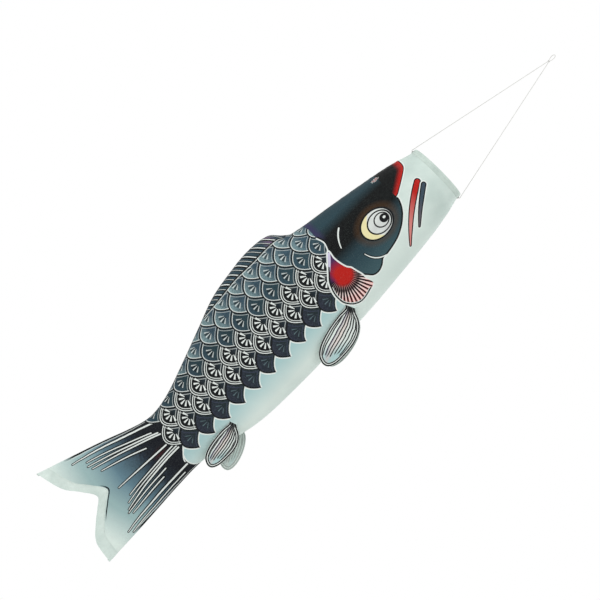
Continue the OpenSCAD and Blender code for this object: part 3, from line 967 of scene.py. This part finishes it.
def make_bridle():
    """Two legs, the loop over their knot, and a knot inside each eyelet."""
    radius = CORD_DIAMETER / 2 * MM
    top = knot("bridle_knot_tied", (0, 0, -TOP_KNOT_DROP), *TOP_KNOT)
    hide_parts("bridle_knot")
    for end in (BACK, BELLY):
        name = END_NAMES[end]
        line, run = resampled([[-end * x, z] for x, z in LEG_ROUTE], CORD_STEP * MM)
        leg = swept("bridle_leg_" + name, cord_rings(line, run, radius), MATERIALS["cord"])
        place = (end * TIE_KNOT_REACH, 0, -DROP - EYELET_DROP)
        tied = knot("tie_knot_tied_" + name, place, *TIE_KNOT, turn=0.4)
        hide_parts("bridle_line_" + name)
        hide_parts("tie_knot_" + name)
        for piece in (leg, tied):
            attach(piece, "bridle")
    line, run = resampled(LOOP_ROUTE, CORD_STEP * MM)
    loop = swept("hanging_loop", cord_rings(line, run, radius), MATERIALS["cord"])
    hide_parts("hang_loop")
    for piece in (loop, top):
        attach(piece, "bridle")


# ---- cloth

HEAD_OUTLINE = [(66, -170), (66, -74), (74, -52), (82, -34), (94, -25), (97, -14), (104, 0), (115, 13),
    (131, 26), (150, 36), (170, 41), (187, 43), (198, 43), (209, 51), (222, 55.5), (235, 53), (244, 44),
    (251, 35), (254, 24), (257, 12), (262, 5), (266, -8), (268, -25), (265, -40), (258, -60), (263, -80),
    (262, -100), (262, -170)]
GILL_OUTLINE = [(266, -42), (281, -27), (295, -12), (306, 0), (313, 14), (317, 30), (316, 48), (309, 60),
    (300, 68), (290, 72), (278, 72), (262, 68), (246, 62), (250, 46), (251, 35), (254, 24), (257, 12),
    (262, 5), (266, -8), (268, -25)]
LIP_OUTLINE = [(62, -110), (50, -90), (43, -77), (41, -66), (46, -52), (62, -41), (82, -30), (97, -24),
    (125, -30), (150, -60), (150, -110)]
CREST_LINE = [[250, -190], [300, -124], [320, -128.5], [345, -130.5], [400, -130.5], [440, -130.5],
    [480, -127], [520, -124], [560, -123], [700, -123], [1000, -190]]


def print_fields(s, share, q):
    """Distances over the cloth that the print follows: head, gill fan, back fin and the two seams."""
    outlines = {"head": HEAD_OUTLINE, "gill": GILL_OUTLINE, "lip": LIP_OUTLINE}
    fields = {name: distance_inside((s, q), np.stack(on_cloth(*rounded(points).T), -1))
        for name, points in outlines.items()}
    _, base = on_cloth(s, curve(CREST_LINE, np.clip(s, 250, 1000)))
    fields["crest"] = base - q
    fields["from_back"] = q - round_the_ring(s, 0 * share)
    fields["from_belly"] = round_the_ring(s, 0 * share + 1) - q
    fields["from_end"] = curve(TAIL_END, share) - TAIL_HEM - s
    return fields


SEAM_HALF = 0.45


def between_seams(s, across):
    """Share of the way round for a place across a side, clear of the seams by their half thickness."""
    margin = SEAM_HALF / (np.pi * curve(HALF_DEPTHS, s))
    return margin + (1 - 2 * margin) * across


PANEL_COLUMNS = 128
UPPER_ROWS = 240
LOWER_ROWS = 150
# How far a panel's cloth runs up inside the mouth's hem
HEM_TUCK = 3


def panel(name, s, side, materials, nodes):
    """One piece of a side of the fish: rows of cloth from one station line to another."""
    across = np.linspace(0, 1, PANEL_COLUMNS)[None, :]
    share = between_seams(s, across)
    q = round_the_ring(s, share)
    outer = body_point(s, share, side)
    uv = np.stack([s, q], -1) * MM
    piece = shell(name, outer, CLOTH_THICKNESS, materials, uv, print_fields(s, share, q), flip=side == LEFT)
    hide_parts(*nodes)
    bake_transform(piece)
    return piece


def make_panels():
    """Both sides, each an upper piece from the mouth to the split and a lower one to the tail's hem."""
    for side, name in SIDE_NAMES.items():
        upper = np.linspace(HEM_HEIGHT - HEM_TUCK, SPLIT, UPPER_ROWS)[:, None]
        piece = panel(name + "_side_upper", upper + np.zeros((1, PANEL_COLUMNS)), side,
            [MATERIALS["upper"], MATERIALS["upper_reverse"]],
            [name + "_panel_head", name + "_panel_middle"])
        across = np.linspace(0, 1, PANEL_COLUMNS)[None, :]
        last = curve(TAIL_END, across) - TAIL_HEM + 1.5
        step = np.linspace(0, 1, LOWER_ROWS)[:, None]
        lower = SPLIT + step * (last - SPLIT)
        piece = panel(name + "_side_lower", lower, side,
            [MATERIALS["lower"], MATERIALS["lower_reverse"]],
            [name + "_panel_tail"])


def make_tail_hems():
    """Doubled band along the end of each side of the tail, gathered a little by its stitches."""
    for side, name in SIDE_NAMES.items():
        across = np.linspace(0, 1, 160)[None, :]
        step = np.linspace(0, 1, 14)[:, None]
        s = curve(TAIL_END, across) - TAIL_HEM * (1 - step)
        share = between_seams(s, across)
        q = round_the_ring(s, share)
        gather = 0.35 * np.sin(q / 1.9 + 1.2 * np.sin(q / 11)) * np.sin(np.pi * step) ** 0.5
        outer = body_point(s, share, side, out=0.3 + gather)
        piece = shell(name + "_tail_hem", outer, HEM_THICKNESS, [MATERIALS["plain"]] * 2,
            np.stack([s, q], -1) * MM, flip=side == LEFT)
        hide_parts("tail_hem_" + name)
        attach(piece, "tail")


def make_seams():
    """The turned-in allowance of the two long seams: a narrow doubled strip with a wavy, overcast edge."""
    for end, name in END_NAMES.items():
        last = float(curve(TAIL_END, np.array(0.0 if end == BACK else 1.0)))
        for part, low, high, bodies, bend, nodes in (
                ("upper", HEM_HEIGHT, SPLIT, ("head", "middle"), BODY_BEND, ("head", "middle")),
                ("lower", SPLIT, last, ("middle", "tail"), TAIL_BEND, ("tail",))):
            s = np.linspace(low, high, int((high - low) / 1.4))
            centre, width, _ = section(s)
            edge = centre + end * (width + 0.1)
            turn = full_turn(16)[None, :]
            reach = 3.0 + 0.25 * np.sin(s / 1.1)[:, None]
            inward = reach * (1 - np.sign(np.cos(turn)) * np.abs(np.cos(turn)) ** 0.5)
            thick = 0.5 * np.sign(np.sin(turn)) * np.abs(np.sin(turn)) ** 0.6
            x = edge[:, None] - end * inward
            drift = 0.5 * np.sin(s / 8.3 + end)[:, None] * inward / 6 + sway(s, edge)[:, None]
            rings = np.stack([x, thick + drift, (-DROP - s)[:, None] + 0 * x], -1) * MM
            if end == BACK:
                rings = rings[:, ::-1]
            uv = np.stack([s[:, None] + 0 * turn, inward], -1) * MM
            piece = swept(f"{name}_seam_{part}", rings, MATERIALS["plain"], uv=uv)
            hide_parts(*(f"{name}_seam_{node}" for node in nodes))
            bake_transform(piece)


def make_mouth_hem():
    """Sleeve round the hoop and the band below it: a profile carried round the mouth. Small gathers
    stand out below the bead, and the stitch line pulls the two layers together."""
    lift = np.linspace(-HEM_HEIGHT, -BEAD_RADIUS, 9)
    bead = np.linspace(0, np.pi, 15)[1:-1]
    r = np.concatenate([MOUTH_RADIUS + 0.2 - 0.35 * np.exp(-((lift + 5.6) / 0.8) ** 2),
        MOUTH_RADIUS - BEAD_RADIUS + BEAD_RADIUS * np.cos(bead),
        [MOUTH_RADIUS - 2 * BEAD_RADIUS + 0.1, MOUTH_RADIUS - 3.6, MOUTH_RADIUS - 1.9],
        MOUTH_RADIUS - 1.1 + 0 * lift[::-1][3:]])
    z = np.concatenate([lift, -BEAD_RADIUS + BEAD_RADIUS * np.sin(bead), [-BEAD_RADIUS - 0.6, -4.1, -4.9],
        lift[::-1][3:]])
    phi = full_turn(384)[:, None]
    gather = 0.16 * np.sin(66 * phi) + 0.1 * np.sin(41 * phi + 1)
    wall = np.exp(-((z + 8) / 3.2) ** 2)[None, :]
    radius = r[None, :] + gather * wall
    rings = np.stack([radius * np.cos(phi), radius * np.sin(phi), -DROP + z[None, :] + 0 * phi], -1) * MM
    along = np.concatenate([[0], np.cumsum(np.hypot(np.diff(r), np.diff(z)))])
    uv = np.stack([MOUTH_RADIUS * phi + 0 * along, along + 0 * phi], -1) * MM
    piece = swept("mouth_sleeve", rings, MATERIALS["hem"], uv=uv, closed=True)
    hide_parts("mouth_hem")
    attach(piece, "head")


def make_eyelets():
    """Pressed metal rings: a barrel with a rolled flange on each side, turned about the cord's hole."""
    for end, name in END_NAMES.items():
        half = np.array([1.1, 1.15, 1.35, 1.9, 2.5, 2.8, 2.75, 2.3, 1.75, 1.6])
        r = np.concatenate([half, half[::-1]])
        out = np.array([0.4, 0.9, 1.05, 1.1, 0.95, 0.6, 0.42, 0.45, 0.45, 0.3])
        x = np.concatenate([1.5 * out, -out[::-1]])
        phi = full_turn(48)[:, None]
        rings = np.stack([end * (MOUTH_RADIUS - 0.5 + x)[None, :] + 0 * phi, r * np.cos(phi),
            -DROP - EYELET_DROP + r * np.sin(phi)], -1) * MM
        if end == BACK:
            rings = rings[::-1]
        piece = swept("pressed_eyelet_" + name, rings, MATERIALS["metal"], closed=True)
        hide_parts("eyelet_" + name)
        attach(piece, "head")


# ---- loose fins

# name: root station and height, slant of the right and the left one, length, root width, parent body
FINS = {"pectoral": ((310, 64), {RIGHT: 23, LEFT: 27}, 127, 20, "head"),
    "pelvic": ((633, 63), {RIGHT: 17, LEFT: 38}, 99, 15, "middle")}
FIN_TURN = 18
FIN_GAP = 0.5
FIN_STAND = 1.1
FIN_SHAPE = 0.5
TAB_HEIGHT = 7
FIN_BACK_EDGE = [(0.06, -0.13), (0.2, -0.24), (0.42, -0.35), (0.7, -0.4), (0.88, -0.33), (0.98, -0.14)]
FIN_BELLY_EDGE = [(1, 0.04), (0.96, 0.2), (0.86, 0.36), (0.68, 0.51), (0.48, 0.6), (0.3, 0.58),
    (0.16, 0.44), (0.06, 0.24)]


def fin_axes(side, slant):
    """The fin's own directions: across its root, up along it, and out from the cloth."""
    turn, lean = math.radians(-side * FIN_TURN), math.radians(-slant)
    spin = np.array([[math.cos(turn), -math.sin(turn), 0], [math.sin(turn), math.cos(turn), 0], [0, 0, 1]])
    tilt = np.array([[math.cos(lean), 0, math.sin(lean)], [0, 1, 0], [-math.sin(lean), 0, math.cos(lean)]])
    both = spin @ tilt
    return both @ [1, 0, 0], both @ [0, 0, 1], both @ [0, side, 0]


def fin_root(place, side):
    """Middle of a fin's root: on the body's ellipse, and a little out from it."""
    s, x = place
    centre, width, depth = (float(v) for v in section(np.array(float(s))))
    u = (x - centre) / width
    return np.array([x, side * (depth * math.sqrt(1 - u * u) + FIN_STAND), -DROP - s])


def make_fin(kind, side):
    """A loose fin: rays from the root line to the outline, cupped a little and fluttering at its edge."""
    place, slants, length, root_width, parent = FINS[kind]
    name = f"{kind}_{SIDE_NAMES[side]}"
    across, up, outward = fin_axes(side, slants[side])
    origin = fin_root(place, side)
    edge = [(-root_width / 2, -FIN_GAP - 1)]
    edge += [(b * length * FIN_SHAPE, -a * length) for a, b in FIN_BACK_EDGE + FIN_BELLY_EDGE]
    edge += [(root_width / 2, -FIN_GAP - 1)]
    outline, run = resampled(edge, 1.0)
    t = (run / run[-1])[None, :]
    r = np.linspace(0, 1, 70)[:, None]
    start = np.stack([root_width * (t[0] - 0.5), -FIN_GAP + 0 * t[0]], -1)
    flat = start[None] + r[..., None] * (outline - start)[None]
    down = -flat[..., 1] / length
    cup = 3.2 * smooth(down * 1.6) * np.cos(flat[..., 0] / length * 4.4)
    flutter = 1.3 * smooth(down * 1.3) * np.sin(t * 19 + 1.1 * side) * r**2
    ribs = 0.25 * np.cos(t * 2 * np.pi * 9) * smooth(down * 8) * (1 - r**3)
    lift = cup + flutter + ribs - 2.2 * smooth(down * 1.6) + 2.4 * down
    points = (origin + flat[..., :1] * across + flat[..., 1:] * up + lift[..., None] * outward) * MM
    rim = np.abs(distance_inside((flat[..., 0], flat[..., 1]), outline, closed=False))
    fields = {"rim": rim, "down": down}
    sides = []
    for line in ([(0, -0.5 * root_width / length / FIN_SHAPE)] + FIN_BACK_EDGE + [(1.02, 0.02)],
            [(0, 0.5 * root_width / length / FIN_SHAPE)] + FIN_BELLY_EDGE[::-1] + [(1.02, 0.04)]):
        along, reach = np.array(line).T
        sides.append(np.interp(down, along, reach * length * FIN_SHAPE))
    fields["span"] = np.maximum(sides[1] - sides[0], 1)
    fields["flow"] = np.clip((flat[..., 0] - sides[0]) / fields["span"], 0, 1)
    uv = flat * MM
    piece = shell(name + "_fin", points, CLOTH_THICKNESS, [MATERIALS["fin"], MATERIALS["fin_reverse"]], uv,
        fields, flip=side == LEFT)
    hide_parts(f"{kind}_fin_{SIDE_NAMES[side]}")
    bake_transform(piece)
    make_tab(kind, side, origin, across, up, outward, root_width, parent)


def make_tab(kind, side, origin, across, up, outward, root_width, parent):
    """The folded tab that carries a fin: from the fin's root up and on to the cloth above it."""
    u = np.linspace(-0.5, 0.5, 26)[None, :]
    v = np.linspace(0, 1, 12)[:, None]
    flat_x = (root_width + 1.5) * u + 0 * v
    flat_z = -0.8 + (TAB_HEIGHT + 1.8) * v + 0 * u
    base = origin + flat_x[..., None] * across + flat_z[..., None] * up
    s = -DROP - base[..., 2]
    centre, width, _ = section(s)
    share = angle_at(centre, width, base[..., 0]) / np.pi
    cloth = body_point(s, share, side, out=0.45) / MM
    rest = smooth(v * 1.5)[..., None]
    plane = base + 0.25 * outward
    points = plane * (1 - rest) + cloth * rest
    points += outward * (0.12 * np.sin(u * 40) * np.sin(np.pi * v))[..., None]
    q = round_the_ring(s, share)
    printed = MATERIALS["upper" if kind == "pectoral" else "lower"]
    piece = shell(f"{kind}_tab_{SIDE_NAMES[side]}", points * MM, 0.4, [printed, MATERIALS["plain"]],
        np.stack([s, q], -1) * MM, print_fields(s, share, q), flip=side == RIGHT)
    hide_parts(f"{kind}_root_{SIDE_NAMES[side]}")
    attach(piece, parent)


# ---- stitches

STITCH_PITCH = 3.2
STITCH_LENGTH = 2.1
STITCH_RADIUS = 0.22
STITCH_SIDES = 6


def make_stitches(name, line, normals, body):
    """Row of thread stitches: short rounded bars along a line on the cloth, dipping in at their ends."""
    run = run_along(line)
    count = int(run[-1] / (STITCH_PITCH * MM))
    middle = (np.arange(count) + 0.5) * STITCH_PITCH * MM

    def take(values, places):
        return np.stack([np.interp(places, run, values[:, k]) for k in range(3)], axis=-1)

    bar = np.array([-0.5, -0.3, 0, 0.3, 0.5])
    bar_height = np.array([-0.6, 0.5, 0.9, 0.5, -0.6])
    bar_radius = np.array([0.35, 0.9, 1, 0.9, 0.35])
    at = middle[:, None] + bar[None] * STITCH_LENGTH * MM
    centre = take(line, at.ravel()).reshape(count, len(bar), 3)
    out = take(normals, at.ravel()).reshape(count, len(bar), 3)
    out /= np.linalg.norm(out, axis=-1, keepdims=True)
    along = np.gradient(centre, axis=1)
    along /= np.linalg.norm(along, axis=-1, keepdims=True)
    across = np.cross(along, out)
    centre = centre + out * (bar_height * STITCH_RADIUS * MM)[None, :, None]
    phi = full_turn(STITCH_SIDES)
    spoke = np.cos(phi)[:, None] * out[:, :, None] + np.sin(phi)[:, None] * across[:, :, None]
    rings = centre[:, :, None] + spoke * (bar_radius * STITCH_RADIUS * MM)[None, :, None, None]
    one = tube_faces(len(bar), STITCH_SIDES)
    corners = len(bar) * STITCH_SIDES
    faces = [[corner + corners * k for corner in face] for k in range(count) for face in one]
    piece = new_mesh(name, rings, faces, [MATERIALS["thread"]], crease=80)
    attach(piece, body)


def make_stitch_rows():
    """Two rows round the mouth's hem, and one along the inner edge of each tail hem."""
    turn = np.linspace(0, 2 * np.pi, 400)
    for name, depth, radius in (("mouth_stitches_upper", 5.6, 62.95), ("mouth_stitches_lower", 10.6, 63.25)):
        line = np.stack([radius * np.cos(turn), radius * np.sin(turn), -DROP - depth + 0 * turn], -1) * MM
        out = np.stack([np.cos(turn), np.sin(turn), 0 * turn], -1)
        make_stitches(name, line, out, "head")
    for side, name in SIDE_NAMES.items():
        share = np.linspace(0.03, 0.97, 300)
        s = curve(TAIL_END, share) - TAIL_HEM + 2.2
        line = body_point(s, share, side, out=0.62)
        out = np.stack([0 * s, side + 0 * s, 0 * s], -1)
        make_stitches(name + "_tail_stitches", line, out, "tail")


# ---- the object

make_camera()
make_bridle()
make_lights()
make_floor()
make_panels()
make_tail_hems()
make_seams()
make_mouth_hem()
make_eyelets()
for kind in FINS:
    for side in SIDE_NAMES:
        make_fin(kind, side)
make_stitch_rows()

for node, dress in (("mouth_hoop", "rod"), ("hoop_joiner", "tube")):
    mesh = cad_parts[node].data
    mesh.materials.clear()
    mesh.materials.append(MATERIALS[dress])

bpy.context.scene.view_settings.view_transform = "Standard"
